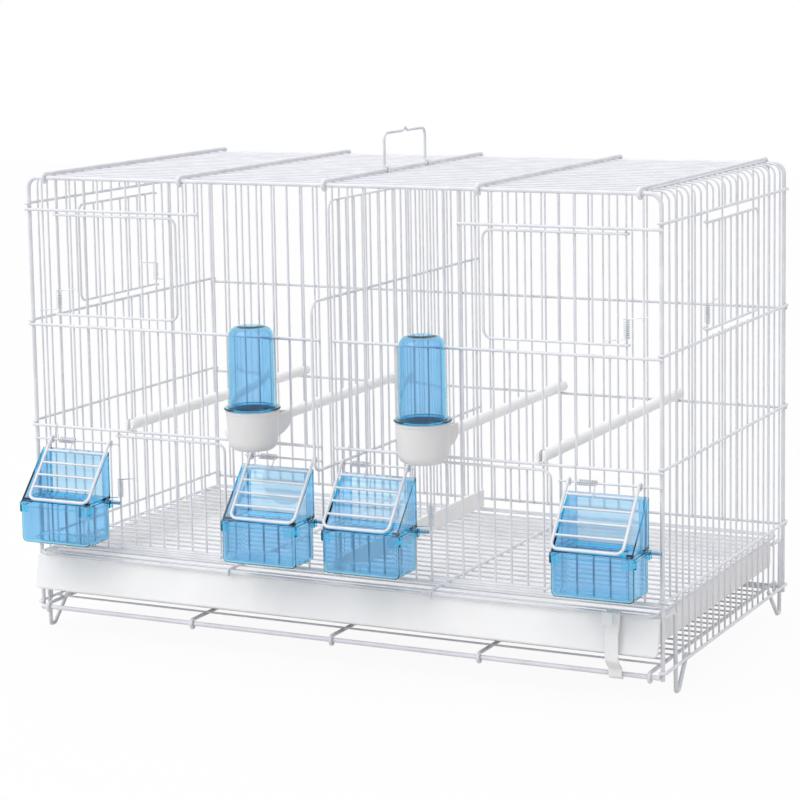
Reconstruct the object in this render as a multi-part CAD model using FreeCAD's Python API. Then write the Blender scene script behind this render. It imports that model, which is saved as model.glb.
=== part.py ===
import FreeCAD, Part
import math
import os

V = FreeCAD.Vector

# Millimetres. X runs along the front, Y from the front to the back, Z up. The feet stand on Z = 0.

# counts
FRONT_INTERVALS = 41
SIDE_INTERVALS = 21
LAST_WIRE = 19
SPRING_TURNS = 9
HALF_TURNS_PER_TURN = 2
FLAP_BARS = 4
EXTRA_SIDES = 2
SAMPLES_PER_ARC = 6
SAMPLES_APART = 12

# front wires beside the feeder openings, counted outwards from the middle
INNER_FEEDER_LOW = 0
INNER_FEEDER_HIGH = 5
OUTER_FEEDER_LOW = 14

# angles in degrees
FULL_ANGLE = 360.0
SQUARE_ANGLE = 90.0
HOOK_ANGLE = 120.0
STRUT_HOOK_ANGLE = 200.0
LOOP_ANGLE = 240.0
FLAP_LOOP_ANGLE = 250.0
HANDLE_EYE_ANGLE = 300.0
GRID_HOOK_ANGLE = 150.0
FLAP_ANGLE = 51.3
FLAP_LEG_ANGLE = 11.0
CLIP_BACK_ANGLE = -20.0

# spacing of the wires
FRONT_PITCH = 14.25
SIDE_PITCH = 14.6
HALF_W = FRONT_INTERVALS * FRONT_PITCH / 2
HALF_D = SIDE_INTERVALS * SIDE_PITCH / 2

# wire radii
POST_R = 1.8
RAIL_R = 1.3
WIRE_R = 0.85
STRUT_R = 1.75
DOOR_R = 1.1
FLAP_R = 1.3
FLAP_BAR_R = 1.0
SILL_R = 1.1
BASE_R = 2.0
BASE_STRUT_R = 1.6
FOOT_R = 1.75
PULL_R = 1.25
HANDLE_R = 1.25
GRID_R = 1.3
SPRING_R = 0.42
WELD = 0.04
RUNNING = 0.1
GAP = 0.35

# heights of the panels' rails and wire ends
POST_BOTTOM = 18.0
TOP_Z = 402.5
LINTEL_Z = 375.0
RAIL_2_Z = 274.3
RAIL_3_Z = 185.0
LOW_Z = 79.5
SILL_Z = 121.0
FLAP_Z = 173.0
SIDE_1_ABOVE = 5.0
SIDE_2_ABOVE = 2.9
SIDE_3_ABOVE = 3.0
SIDE_4_ABOVE = 3.1
SIDE_1_Z = LINTEL_Z + SIDE_1_ABOVE
SIDE_2_Z = RAIL_2_Z + SIDE_2_ABOVE
SIDE_3_Z = RAIL_3_Z + SIDE_3_ABOVE
SIDE_4_Z = LOW_Z + SIDE_4_ABOVE
SIDE_5_Z = 25.0
WIRE_OVERHANG = 1.2
FRAME_CORNER = 9.5
RAIL_OVERHANG = 2.2

# planes of a panel, measured outwards from the post axis
WIRE_OUT = POST_R - WIRE_R
RAIL_OUT = POST_R + RAIL_R - WELD
SILL_OUT = POST_R + SILL_R - WELD
FLAP_OUT = POST_R + WIRE_R - WELD

# roof
ROOF_STRUT_X = (0.0, 138.2, 274.9)
STRUT_Z = TOP_Z + POST_R + STRUT_R - WELD
ROOF_WIRE_Z = STRUT_Z - STRUT_R - WIRE_R + WELD
ROOF_BEND = 9.0
ROOF_OVERHANG = 1.4
SIDE_WIRE_OVERHANG = 2.5
END_WIRE_OVERHANG = 4.1
SIDE_WIRE_END_X = max(ROOF_STRUT_X) + SIDE_WIRE_OVERHANG
END_WIRE_X = max(ROOF_STRUT_X) + END_WIRE_OVERHANG

# doors: gaps to the rails above and below, hinge wires, openings in intervals
DOOR_TOP_GAP = 4.0
DOOR_FOOT_GAP = 9.7
LOW_DOOR_TOP_GAP = 4.6
LOW_DOOR_FOOT_GAP = 4.1
DOOR_LOW = RAIL_2_Z + DOOR_FOOT_GAP
DOOR_HIGH = LINTEL_Z - DOOR_TOP_GAP
LOW_DOOR_LOW = LOW_Z + LOW_DOOR_FOOT_GAP
LOW_DOOR_HIGH = RAIL_3_Z - LOW_DOOR_TOP_GAP
UPPER_HINGE = 18
UPPER_SPAN = 8
LOWER_LEFT_HINGE = 14
LOWER_RIGHT_HINGE = 6
LOWER_SPAN = 7
SIDE_HINGE = 7
FREE_SHARE = 0.5
DOOR_CORNER = 7.0
DOOR_LOOP_R = WIRE_R + RUNNING + DOOR_R
DOOR_WIRE_OVERHANG = 0.6

# springs
SPRING_MEAN_R = 2.2
SPRING_LENGTH = 15.6
SPRING_LIFT = 5.0
DOOR_LEG = 19.0
FLAP_LEG = 17.5
FLAP_UP_LEG = 13.6
HOOK_R = 1.2
HOOK_TAIL = 0.5
LOW_SPRING_LIFT = 5.5
LOW_SPRING_Z = SILL_Z + LOW_SPRING_LIFT
FLAP_SPRING_START = -22.0

# feeders
FLAP_X = (-244.8, -43.5, 43.5, 244.8)
HOOD_X = (-249.0, -47.5, 47.5, 249.0)
FLAP_HALF = 30.0
FLAP_LENGTH = 60.0
FLAP_CORNER = 6.0
FLAP_LOOP_R = WIRE_R + RUNNING + FLAP_R
HOOD_HALF = 34.0
HOOD_TOP = 166.0
RIM_Z = 124.5
BIN_HALF = 34.6
BIN_BOTTOM = 88.5
BIN_WALL = 1.5
BIN_CORNER = 4.5
FEEDER_BACK = HALF_D + RAIL_OUT + RAIL_R + GAP
FEEDER_DEPTH = 38.5
HOOD_FOOT_INSET = 1.3
HOOD_FOOT_DEPTH = FEEDER_DEPTH - HOOD_FOOT_INSET
HOOD_TOP_DEPTH = 0.8
HOOD_WALL = 1.5
HOOD_STILE = 8.0
HOOD_LINTEL = 7.0
RIM_HEIGHT = 4.0
RIM_OUT = 1.0
TAB_WIDTH = 7.0
TAB_HEIGHT = 5.0
TAB_OUT = 1.6
LUG_WIDTH = 9.0
LUG_HEIGHT = 3.0
LUG_DEPTH = 1.7

# drinkers
DRINKER_LEFT_COUNT = 4
DRINKER_RIGHT_COUNT = 7
DRINKER_X = (-DRINKER_LEFT_COUNT * FRONT_PITCH, DRINKER_RIGHT_COUNT * FRONT_PITCH)
DRINKER_OUT = 28.2
CUP_R = 22.5
CUP_BOTTOM = 184.0
CUP_TOP = 218.0
CUP_WALL = 1.6
CUP_ROUND = 8.0
SPOUT_HALF = 5.5
SPOUT_LOW = 188.6
SPOUT_HIGH = 200.6
SPOUT_WALL = 1.4
SPOUT_END = 26.0
TUBE_R = 19.6
TUBE_BOTTOM = 206.0
TUBE_TOP = 288.0
TUBE_WALL = 1.5
TUBE_DOME = 12.0
FLANGE_R = 23.6
FLANGE_HEIGHT = 2.8

# perches
PERCH_INTERVALS = (7, 14, 26, 34)
PERCH_R = 4.9
PERCH_OUT = 6.7
PERCH_HALF = HALF_D + PERCH_OUT
PERCH_SLOT = 2.8
PERCH_SLOT_DEPTH = 8.6
PERCH_Z = RAIL_3_Z + RAIL_R + PERCH_R + GAP

# divider
DIVIDER_WIRE_COUNT = 19
DIVIDER_INSET = 5.8
DIVIDER_HALF = HALF_D - DIVIDER_INSET
DIVIDER_TOP = 390.0
DIVIDER_CORNER = 8.0
STRIP_BOTTOM = 73.2
STRIP_TOP = 90.0
STRIP_HALF = 2.2
PULL_HIGH = 308.7
PULL_LOW = 168.0
PULL_OUT = 23.7
PULL_FRONT = HALF_D + PULL_OUT
PULL_CORNER = 9.0

# handle
HANDLE_HALF = 40.0
HANDLE_TOP = 437.5
HANDLE_CORNER = 6.0
HANDLE_PEAK = 3.0
HANDLE_PEAK_HALF = 5.0
HANDLE_BEND = 2.0

# floor grid
GRID_INSET = 3.525
GRID_HALF = HALF_W - GRID_INSET
GRID_FRONT_OUT = 8.7
GRID_FRONT = HALF_D + GRID_FRONT_OUT
GRID_BACK_INSET = 6.3
GRID_BACK = HALF_D - GRID_BACK_INSET
GRID_Z = 71.5
GRID_CORNER = 9.0
GRID_SUPPORT_X = 95.0
GRID_SUPPORT_Z = GRID_Z + 2 * GRID_R - WELD
GRID_WIRE_Z = GRID_SUPPORT_Z - GRID_R - WIRE_R + WELD

# tray
TRAY_INSET = 2.1
TRAY_HALF = GRID_HALF - TRAY_INSET
TRAY_TOP = 69.0
TRAY_FLOOR = 44.5
TRAY_WALL = 2.0
TRAY_BACK_INSET = 13.3
TRAY_BACK = HALF_D - TRAY_BACK_INSET
TRAY_FRONT_OUT = 4.2
TRAY_FRONT = HALF_D + TRAY_FRONT_OUT
FASCIA_OVERHANG = 5.0
FASCIA_HALF = TRAY_HALF + FASCIA_OVERHANG
FASCIA_BOTTOM = 39.0
FASCIA_LEAN = 6.0
FASCIA_LIP = 7.0

# base and feet
BASE_Z = 21.5
BASE_OUT = POST_R + BASE_R - WELD
BASE_STRUT_X = (0.0, 135.5, 283.0)
BASE_STRUT_Z = BASE_Z + BASE_R + BASE_STRUT_R - WELD
BASE_WIRE_Z = BASE_STRUT_Z + BASE_STRUT_R + WIRE_R - WELD
BASE_WIRE_OVERHANG = 3.0
BASE_WIRE_HALF = max(BASE_STRUT_X) + BASE_WIRE_OVERHANG
BASE_RAIL_INSET = 1.125
BASE_RAIL_HALF = HALF_W - BASE_RAIL_INSET
FOOT_X = HALF_W + RAIL_OUT - RAIL_R - FOOT_R + WELD
STUB_Z = 68.0
FRONT_LEG_INSET = 27.8
FRONT_LEG_Y = FRONT_LEG_INSET - HALF_D
BACK_LEG_INSET = 8.3
BACK_LEG_Y = HALF_D - BACK_LEG_INSET
BACK_STUB_INSET = 31.3
BACK_STUB_Y = HALF_D - BACK_STUB_INSET
FOOT_CORNER = 6.0
V_CORNER = 4.0
V_RUN = 8.0
FRONT_FOOT_REACH = 27.0
BACK_FOOT_REACH = 32.5
FOOT_END_Z = 27.0

# clip
CLIP_X = 255.0
CLIP_HALF = 5.5
CLIP_THICK = 1.6
CLIP_BOW_OUT = 6.4
CLIP_BOW = GRID_FRONT + CLIP_BOW_OUT
CLIP_BOW_HIGH = 55.0
CLIP_BOW_LOW = 34.0
CLIP_CORNER = 5.0
CLIP_HOOK_GAP = 0.5
CLIP_TAB_WIDTH = 9.0
CLIP_TAB_SHIFT = 4.3
CLIP_TAB_DEPTH = 2.6
CLIP_TAB_ABOVE = 1.6
CLIP_TAB_BELOW = 8.4


def arc(a, mid, b):
    return Part.Arc(a, mid, b).toShape()


def straight(a, b):
    return Part.makeLine(a, b)


def pipe(edges, radius):
    """A round wire along joined edges, as one solid."""
    first = edges[0]
    start = first.valueAt(first.FirstParameter)
    along = first.tangentAt(first.FirstParameter)
    ring = Part.Wire([Part.Circle(start, along, radius).toShape()])
    solid = Part.Wire(edges).makePipeShell([ring], True, False)
    if solid.Volume < 0:
        solid.reverse()
    return solid


def bar(a, b, radius):
    """A straight round wire between two points."""
    return Part.makeCylinder(radius, (b - a).Length, a, b - a)


def corner_edges(points, radii):
    """Edges through the points, with each inner corner rounded to its radius."""
    edges = []
    here = points[0]
    for k in range(1, len(points) - 1):
        before = (points[k - 1] - points[k]).normalize()
        after = (points[k + 1] - points[k]).normalize()
        half = before.getAngle(after) / 2
        radius = radii[k - 1]
        reach = radius / math.tan(half)
        a = points[k] + before * reach
        b = points[k] + after * reach
        centre = points[k] + (before + after).normalize() * (radius / math.sin(half))
        mid = centre + (points[k] - centre).normalize() * radius
        if (a - here).Length > WELD:
            edges.append(straight(here, a))
        edges.append(arc(a, mid, b))
        here = b
    edges.append(straight(here, points[-1]))
    return edges


def bent(points, radii, radius):
    return pipe(corner_edges(points, radii), radius)


def turn(centre, u, v, radius, start, end):
    """An arc about a centre in the plane of u and v, between two angles in degrees."""
    spots = []
    for angle in (start, (start + end) / 2, end):
        a = math.radians(angle)
        spots.append(centre + u * (radius * math.cos(a)) + v * (radius * math.sin(a)))
    return arc(spots[0], spots[1], spots[2])


def end_of(edge):
    return edge.valueAt(edge.LastParameter)


def start_of(edge):
    return edge.valueAt(edge.FirstParameter)


def biarc(a, ta, b, tb):
    """Two arcs from a to b that leave along ta and arrive along tb."""
    chord = b - a
    spread = 2 * (1 - ta.dot(tb))
    both = chord.dot(ta + tb)
    reach = (math.sqrt(both * both + spread * chord.dot(chord)) - both) / spread
    joint = (a + b + (ta - tb) * reach) * (1 / 2)
    edges = []
    for p, t, q in ((a, ta, joint), (b, tb * -1, joint)):
        side = q - p
        unit = V(side).normalize()
        across = (t - unit * t.dot(unit)).normalize()
        angle = math.acos(t.dot(unit))
        mid = (p + q) * (1 / 2) + across * (side.Length / 2 * math.tan(angle / 2))
        if q is joint and p is a:
            edges.append(arc(p, mid, q))
        else:
            edges.append(arc(q, mid, p))
    return edges


def coil_edges(origin, u, v, w, start, end, length):
    """A coil about the axis w, from one angle to another in degrees, as biarcs of half a turn."""
    rise = length / math.radians(end - start)

    def place(angle):
        return origin + (u * math.cos(angle) + v * math.sin(angle)) * SPRING_MEAN_R + \
            w * (rise * (angle - math.radians(start)))

    def way(angle):
        t = (v * math.cos(angle) - u * math.sin(angle)) * SPRING_MEAN_R + w * rise
        return t.normalize()

    steps = SPRING_TURNS * HALF_TURNS_PER_TURN
    a = math.radians(start)
    step = math.radians(end - start) / steps
    edges = []
    for k in range(steps):
        edges += biarc(place(a), way(a), place(a + step), way(a + step))
        a += step
    return edges


def report_gap(name, edges):
    """Print the least gap of a coil to itself, measured on points along its middle line."""
    points = []
    for edge in edges:
        span = edge.LastParameter - edge.FirstParameter
        for k in range(SAMPLES_PER_ARC):
            points.append(edge.valueAt(edge.FirstParameter + span * k / SAMPLES_PER_ARC))
    least = None
    for i in range(len(points)):
        for j in range(i + SAMPLES_APART, len(points)):
            d = (points[i] - points[j]).Length - 2 * SPRING_R
            if least is None or d < least:
                least = d
    print(name, "least gap to itself in mm:", round(least, 3))


def save(name, solids):
    """Write one named STEP file, of one solid or a group of solids."""
    shape = solids[0] if len(solids) == 1 else Part.makeCompound(solids)
    bad = [k for k, s in enumerate(solids) if not s.isValid() or s.Volume <= 0]
    if bad:
        print("not sound:", name, bad)
    shape.exportStep(os.path.join("parts", name + ".step"))


def turned(solids, degrees):
    out = []
    for s in solids:
        c = s.copy()
        c.rotate(V(0, 0, 0), V(0, 0, 1), degrees)
        out.append(c)
    return out


# panels


def front_x(side, index):
    return side * FRONT_PITCH * (index + 1 / 2)


def side_y(index):
    return SIDE_PITCH * index - HALF_D


def heavy_frame(y):
    """A post, the top rail and the other post, bent from one wire."""
    points = [V(-HALF_W, y, POST_BOTTOM), V(-HALF_W, y, TOP_Z), V(HALF_W, y, TOP_Z),
              V(HALF_W, y, POST_BOTTOM)]
    return [bent(points, [FRAME_CORNER, FRAME_CORNER], POST_R)]


def rail_x(x0, x1, y, z, radius):
    return bar(V(x0, y, z), V(x1, y, z), radius)


def front_rails():
    y = -HALF_D - RAIL_OUT
    sill_y = -HALF_D - SILL_OUT
    slot = front_x(1, 0) - WIRE_R
    outer = HALF_W + RAIL_OVERHANG
    solids = []
    for side in (-1, 1):
        inner_lintel = front_x(1, UPPER_HINGE - UPPER_SPAN - EXTRA_SIDES) - WIRE_R
        solids.append(rail_x(side * inner_lintel, side * outer, y, LINTEL_Z, RAIL_R))
        for z in (RAIL_2_Z, RAIL_3_Z, LOW_Z):
            solids.append(rail_x(side * slot, side * outer, y, z, RAIL_R))
    for a, b in feeder_spans(LOWER_RIGHT_HINGE):
        solids.append(rail_x(a - WIRE_R, b + WIRE_R, sill_y, SILL_Z, SILL_R))
    return solids


def feeder_spans(inner_right):
    """Stretches between the wires beside the feeders, with the wire where the third one ends."""
    return ((-HALF_W, front_x(-1, OUTER_FEEDER_LOW)),
            (front_x(-1, INNER_FEEDER_HIGH), front_x(-1, INNER_FEEDER_LOW)),
            (front_x(1, INNER_FEEDER_LOW), front_x(1, inner_right)),
            (front_x(1, OUTER_FEEDER_LOW), HALF_W))


def flap_hinge_wires():
    y = -HALF_D - FLAP_OUT
    spans = feeder_spans(INNER_FEEDER_HIGH)
    return [rail_x(a - WIRE_R, b + WIRE_R, y, FLAP_Z, WIRE_R) for a, b in spans]


def front_cuts(side, index):
    """Stretches of height that a front wire leaves out, for the doors and the feeders."""
    cuts = []
    if UPPER_HINGE - UPPER_SPAN < index < UPPER_HINGE:
        cuts.append((RAIL_2_Z + WIRE_OVERHANG, LINTEL_Z - WIRE_OVERHANG))
    inner = INNER_FEEDER_LOW < index < INNER_FEEDER_HIGH
    feeder = inner or OUTER_FEEDER_LOW < index < LAST_WIRE
    if side < 0:
        lower = LOWER_LEFT_HINGE - LOWER_SPAN < index < LOWER_LEFT_HINGE
    else:
        lower = LOWER_RIGHT_HINGE < index < LOWER_RIGHT_HINGE + LOWER_SPAN
    if feeder:
        cuts.append((SILL_Z + WIRE_OVERHANG, RAIL_3_Z - WIRE_OVERHANG))
    if lower:
        cuts.append((LOW_Z - RAIL_R, RAIL_3_Z - WIRE_OVERHANG))
    return cuts


def upright(x, y, cuts):
    """One upright wire, left out where it is cut."""
    marks = [LOW_Z - RAIL_R]
    for low, high in sorted(cuts):
        marks += [low, high]
    marks.append(TOP_Z - POST_R + WELD)
    solids = []
    for k in range(0, len(marks), 2):
        if marks[k + 1] - marks[k] > WIRE_R:
            solids.append(bar(V(x, y, marks[k]), V(x, y, marks[k + 1]), WIRE_R))
    return solids


def front_wires():
    solids = []
    for side in (-1, 1):
        for index in range(LAST_WIRE + 1):
            cuts = front_cuts(side, index)
            solids += upright(front_x(side, index), -HALF_D - WIRE_OUT, cuts)
    return solids


def back_rails():
    y = HALF_D + RAIL_OUT
    outer = HALF_W + RAIL_OVERHANG
    return [rail_x(-outer, outer, y, z, RAIL_R) for z in (RAIL_2_Z, RAIL_3_Z, LOW_Z)]


def back_wires():
    solids = []
    for side in (-1, 1):
        for index in range(LAST_WIRE + 1):
            solids += upright(front_x(side, index), HALF_D + WIRE_OUT, [])
    return solids


def hooked_rail(z):
    """A side rail outside the posts, its ends hooked round them. Drawn for the right side."""
    x = HALF_W + RAIL_OUT
    edges = [turn(V(HALF_W, -HALF_D, z), V(1, 0, 0), V(0, -1, 0), RAIL_OUT, HOOK_ANGLE, 0)]
    edges.append(straight(V(x, -HALF_D, z), V(x, HALF_D, z)))
    edges.append(turn(V(HALF_W, HALF_D, z), V(1, 0, 0), V(0, 1, 0), RAIL_OUT, 0, HOOK_ANGLE))
    return pipe(edges, RAIL_R)


def side_rails():
    return [hooked_rail(z) for z in (SIDE_1_Z, SIDE_2_Z, SIDE_3_Z, SIDE_4_Z, SIDE_5_Z)]


def side_wire(y, bottom):
    """An upright side wire that bends over into the roof."""
    x = HALF_W + WIRE_OUT
    points = [V(x, y, bottom), V(x, y, ROOF_WIRE_Z), V(SIDE_WIRE_END_X, y, ROOF_WIRE_Z)]
    reach = x - SIDE_WIRE_END_X
    return bent(points, [min(ROOF_BEND, reach - WIRE_R)], WIRE_R)


def foot_corner_z(y):
    """Height at which a side wire's inner edge meets the rounded corner of the front foot."""
    reach = FOOT_CORNER + FOOT_R - WELD
    across = y - WIRE_R - (FRONT_LEG_Y - FOOT_CORNER)
    return STUB_Z - FOOT_CORNER + math.sqrt(max(0, reach * reach - across * across))


def side_wire_levels(y):
    """The lower end of a side wire, and the stretch below a foot's stub where there is one."""
    low = SIDE_5_Z - WIRE_OVERHANG
    if y + WIRE_R < FRONT_LEG_Y - FOOT_CORNER:
        return SIDE_4_Z - WIRE_OVERHANG, None
    if y - WIRE_R < FRONT_LEG_Y + FOOT_R:
        return foot_corner_z(y), None
    if y + WIRE_R > BACK_STUB_Y:
        return STUB_Z + FOOT_R - WELD, (low, STUB_Z - FOOT_R + WELD)
    return low, None


def side_wires():
    x = HALF_W + WIRE_OUT
    solids = []
    for index in range(1, SIDE_INTERVALS):
        y = side_y(index)
        bottom, below = side_wire_levels(y)
        if below:
            solids.append(bar(V(x, y, below[0]), V(x, y, below[1]), WIRE_R))
        if SIDE_HINGE < index < SIDE_HINGE + UPPER_SPAN:
            solids.append(bar(V(x, y, bottom), V(x, y, SIDE_2_Z + WIRE_OVERHANG), WIRE_R))
            solids.append(side_wire(y, SIDE_1_Z - WIRE_OVERHANG))
        else:
            solids.append(side_wire(y, bottom))
    end = HALF_D - SIDE_PITCH + WIRE_OVERHANG
    z = ROOF_WIRE_Z + 2 * WIRE_R - WELD
    solids.append(bar(V(END_WIRE_X, -end, z), V(END_WIRE_X, end, z), WIRE_R))
    return solids


def hooked_strut(x, z, rail_y, rail_z, reach, radius):
    """A strut from front to back that lies on two rails and hooks down over them."""
    u = V(0, 0, 1)
    front = turn(V(x, -rail_y, rail_z), u, V(0, -1, 0), reach, STRUT_HOOK_ANGLE, 0)
    back = turn(V(x, rail_y, rail_z), u, V(0, 1, 0), reach, 0, STRUT_HOOK_ANGLE)
    return pipe([front, straight(V(x, -rail_y, z), V(x, rail_y, z)), back], radius)


def mirrored_places(places):
    out = []
    for x in places:
        out.append(x)
        if x > 0:
            out.append(-x)
    return sorted(out)


def roof_struts():
    reach = STRUT_Z - TOP_Z
    return [hooked_strut(x, STRUT_Z, HALF_D, TOP_Z, reach, STRUT_R)
            for x in mirrored_places(ROOF_STRUT_X)]


def roof_wires():
    solids = []
    half = max(ROOF_STRUT_X) + ROOF_OVERHANG
    for index in range(1, SIDE_INTERVALS):
        y = side_y(index)
        solids.append(bar(V(-half, y, ROOF_WIRE_Z), V(half, y, ROOF_WIRE_Z), WIRE_R))
    return solids


# base and feet


def base_rails():
    y = HALF_D + BASE_OUT
    return [rail_x(-BASE_RAIL_HALF, BASE_RAIL_HALF, s * y, BASE_Z, BASE_R) for s in (-1, 1)]


def base_struts():
    y = HALF_D + BASE_OUT
    reach = BASE_STRUT_Z - BASE_Z
    return [hooked_strut(x, BASE_STRUT_Z, y, BASE_Z, reach, BASE_STRUT_R)
            for x in mirrored_places(BASE_STRUT_X)]


def base_wires():
    solids = []
    for index in range(1, SIDE_INTERVALS):
        y = side_y(index)
        a = V(-BASE_WIRE_HALF, y, BASE_WIRE_Z)
        solids.append(bar(a, V(BASE_WIRE_HALF, y, BASE_WIRE_Z), WIRE_R))
    return solids


def foot(stub_y, leg_y, side, reach):
    """A wire foot: a stub, an upright leg, and a slanted leg up to the lowest side rail."""
    points = [V(FOOT_X, stub_y, STUB_Z), V(FOOT_X, leg_y, STUB_Z),
              V(FOOT_X, leg_y + side * FOOT_R, FOOT_R),
              V(FOOT_X, leg_y + side * V_RUN, FOOT_R),
              V(FOOT_X, leg_y + side * reach, FOOT_END_Z)]
    return bent(points, [FOOT_CORNER, V_CORNER / 2, V_CORNER / 2], FOOT_R)


def feet():
    stub = POST_R - WELD - HALF_D
    right = [foot(stub, FRONT_LEG_Y, 1, FRONT_FOOT_REACH),
             foot(BACK_STUB_Y, BACK_LEG_Y, -1, BACK_FOOT_REACH)]
    return right + turned(right, 2 * SQUARE_ANGLE)


# doors


def door(hinge_x, way, width, wires, low, high, plane):
    """A door leaf seen from outside, its frame looped round the hinge wire at both ends."""
    y = -plane - DOOR_LOOP_R
    away = V(-way, 0, 0)
    inward = V(0, 1, 0)
    free = hinge_x + way * width
    end = LOOP_ANGLE - SQUARE_ANGLE
    top = turn(V(hinge_x, -plane, high), away, inward, DOOR_LOOP_R, end, -SQUARE_ANGLE)
    bottom = turn(V(hinge_x, -plane, low), away, inward, DOOR_LOOP_R, -SQUARE_ANGLE, end)
    middle = corner_edges([V(hinge_x, y, high), V(free, y, high), V(free, y, low),
                           V(hinge_x, y, low)], [DOOR_CORNER, DOOR_CORNER])
    solids = [pipe([top] + middle + [bottom], DOOR_R)]
    wire_y = y + DOOR_R + WIRE_R - WELD
    for x in wires:
        a = V(x, wire_y, low - DOOR_WIRE_OVERHANG)
        solids.append(bar(a, V(x, wire_y, high + DOOR_WIRE_OVERHANG), WIRE_R))
    return solids


def door_wires(hinge_x, way, span, pitch):
    return [hinge_x + way * pitch * k for k in range(1, span)]


def panel_door(hinge_x, way, span, pitch, low, high, plane):
    width = (span + FREE_SHARE) * pitch
    wires = door_wires(hinge_x, way, span, pitch)
    return door(hinge_x, way, width, wires, low, high, plane)


def front_doors():
    plane = HALF_D + WIRE_OUT
    upper = (DOOR_LOW, DOOR_HIGH)
    lower = (LOW_DOOR_LOW, LOW_DOOR_HIGH)
    rows = (("upper_left_door", -1, UPPER_HINGE, 1, UPPER_SPAN, upper),
            ("upper_right_door", 1, UPPER_HINGE, -1, UPPER_SPAN, upper),
            ("lower_left_door", -1, LOWER_LEFT_HINGE, 1, LOWER_SPAN, lower),
            ("lower_right_door", 1, LOWER_RIGHT_HINGE, 1, LOWER_SPAN, lower))
    out = {}
    for name, side, index, way, span, levels in rows:
        hinge_x = front_x(side, index)
        out[name] = panel_door(hinge_x, way, span, FRONT_PITCH, levels[0], levels[1], plane)
    return out


def side_door():
    plane = HALF_W + WIRE_OUT
    hinge = side_y(SIDE_HINGE)
    return panel_door(hinge, 1, UPPER_SPAN, SIDE_PITCH, DOOR_LOW, DOOR_HIGH, plane)


# springs


def door_spring(hinge_x, plane, bottom):
    """A coil round a hinge wire, with a leg to the left at its foot and one to the right at its top."""
    start = -SQUARE_ANGLE
    end = start + FULL_ANGLE * SPRING_TURNS
    origin = V(hinge_x, -plane, bottom)
    coil = coil_edges(origin, V(1, 0, 0), V(0, 1, 0), V(0, 0, 1), start, end, SPRING_LENGTH)
    first = coil[0]
    last = coil[-1]
    t0 = first.tangentAt(first.FirstParameter)
    t1 = last.tangentAt(last.LastParameter)
    a = start_of(first)
    b = end_of(last)
    edges = [straight(a - t0 * DOOR_LEG, a)] + coil + [straight(b, b + t1 * DOOR_LEG)]
    report_gap("door spring", coil)
    return pipe(edges, SPRING_R)


def flap_spring(x):
    """A coil round a flap's hinge wire, hooked over the rail above and resting on the flap."""
    y = -HALF_D - FLAP_OUT
    start = -SQUARE_ANGLE
    end = start + FULL_ANGLE * SPRING_TURNS - (SQUARE_ANGLE - FLAP_ANGLE) - FLAP_LEG_ANGLE
    origin = V(x + FLAP_SPRING_START, y, FLAP_Z)
    coil = coil_edges(origin, V(0, 0, -1), V(0, 1, 0), V(1, 0, 0), start, end, SPRING_LENGTH)
    first = coil[0]
    last = coil[-1]
    t0 = first.tangentAt(first.FirstParameter)
    t1 = last.tangentAt(last.LastParameter)
    a = start_of(first)
    b = end_of(last)
    knee = a - t0 * (FLAP_UP_LEG + HOOK_R)
    tail = knee + V(0, HOOK_R + HOOK_TAIL, 0)
    leg = corner_edges([tail, knee, a], [HOOK_R])
    edges = leg + coil + [straight(b, b + t1 * FLAP_LEG)]
    report_gap("flap spring", coil)
    return pipe(edges, SPRING_R)


def springs():
    plane = HALF_D + WIRE_OUT
    high = DOOR_LOW + SPRING_LIFT
    out = {}
    out["upper_left_spring"] = [door_spring(front_x(-1, UPPER_HINGE), plane, high)]
    out["upper_right_spring"] = [door_spring(front_x(1, UPPER_HINGE), plane, high)]
    out["lower_left_spring"] = [door_spring(front_x(-1, LOWER_LEFT_HINGE), plane, LOW_SPRING_Z)]
    out["lower_right_spring"] = [door_spring(front_x(1, LOWER_RIGHT_HINGE), plane, LOW_SPRING_Z)]
    side = [door_spring(side_y(SIDE_HINGE), HALF_W + WIRE_OUT, high)]
    out["right_side_spring"] = turned(side, SQUARE_ANGLE)
    out["left_side_spring"] = turned(side, -SQUARE_ANGLE)
    for k, x in enumerate(FLAP_X):
        out["flap_spring_" + str(k + 1)] = [flap_spring(x)]
    return out


# feeders


def slope():
    a = math.radians(FLAP_ANGLE)
    along = V(0, -math.cos(a), -math.sin(a))
    out = V(0, -math.sin(a), math.cos(a))
    return along, out


def flap(x):
    """A wire flap: two legs looped round the hinge wire, joined below, with cross bars."""
    along, out = slope()
    hinge = V(0, -HALF_D - FLAP_OUT, FLAP_Z)
    left = V(x - FLAP_HALF, 0, 0)
    right = V(x + FLAP_HALF, 0, 0)
    lift = out * FLAP_LOOP_R
    down = along * FLAP_LENGTH
    top = lift - along * WELD
    points = [hinge + left + top, hinge + left + lift + down, hinge + right + lift + down,
              hinge + right + top]
    solids = [bent(points, [FLAP_CORNER, FLAP_CORNER], FLAP_R)]
    for side in (left, right):
        eye = turn(hinge + side, out, along * -1, FLAP_LOOP_R, 0, FLAP_LOOP_ANGLE)
        solids.append(pipe([eye], FLAP_R))
    half = FLAP_HALF - FLAP_R + WELD
    for k in range(FLAP_BARS):
        spot = hinge + lift + along * (FLAP_LENGTH * (k + 1) / (FLAP_BARS + 1))
        solids.append(bar(spot + V(x - half, 0, 0), spot + V(x + half, 0, 0), FLAP_BAR_R))
    return solids


def box(x0, x1, y0, y1, z0, z1):
    return Part.makeBox(x1 - x0, y1 - y0, z1 - z0, V(x0, y0, z0))


def rounded_box(x0, x1, y0, y1, z0, z1, radius):
    """A box whose front upright edges are rounded."""
    block = box(x0, x1, y0, y1, z0, z1)
    edges = []
    for e in block.Edges:
        c = e.CenterOfMass
        upright_edge = abs(e.tangentAt(e.FirstParameter).z) > 1 / 2
        if upright_edge and abs(c.y - y0) < WELD:
            edges.append(e)
    return block.makeFillet(radius, edges)


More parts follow.
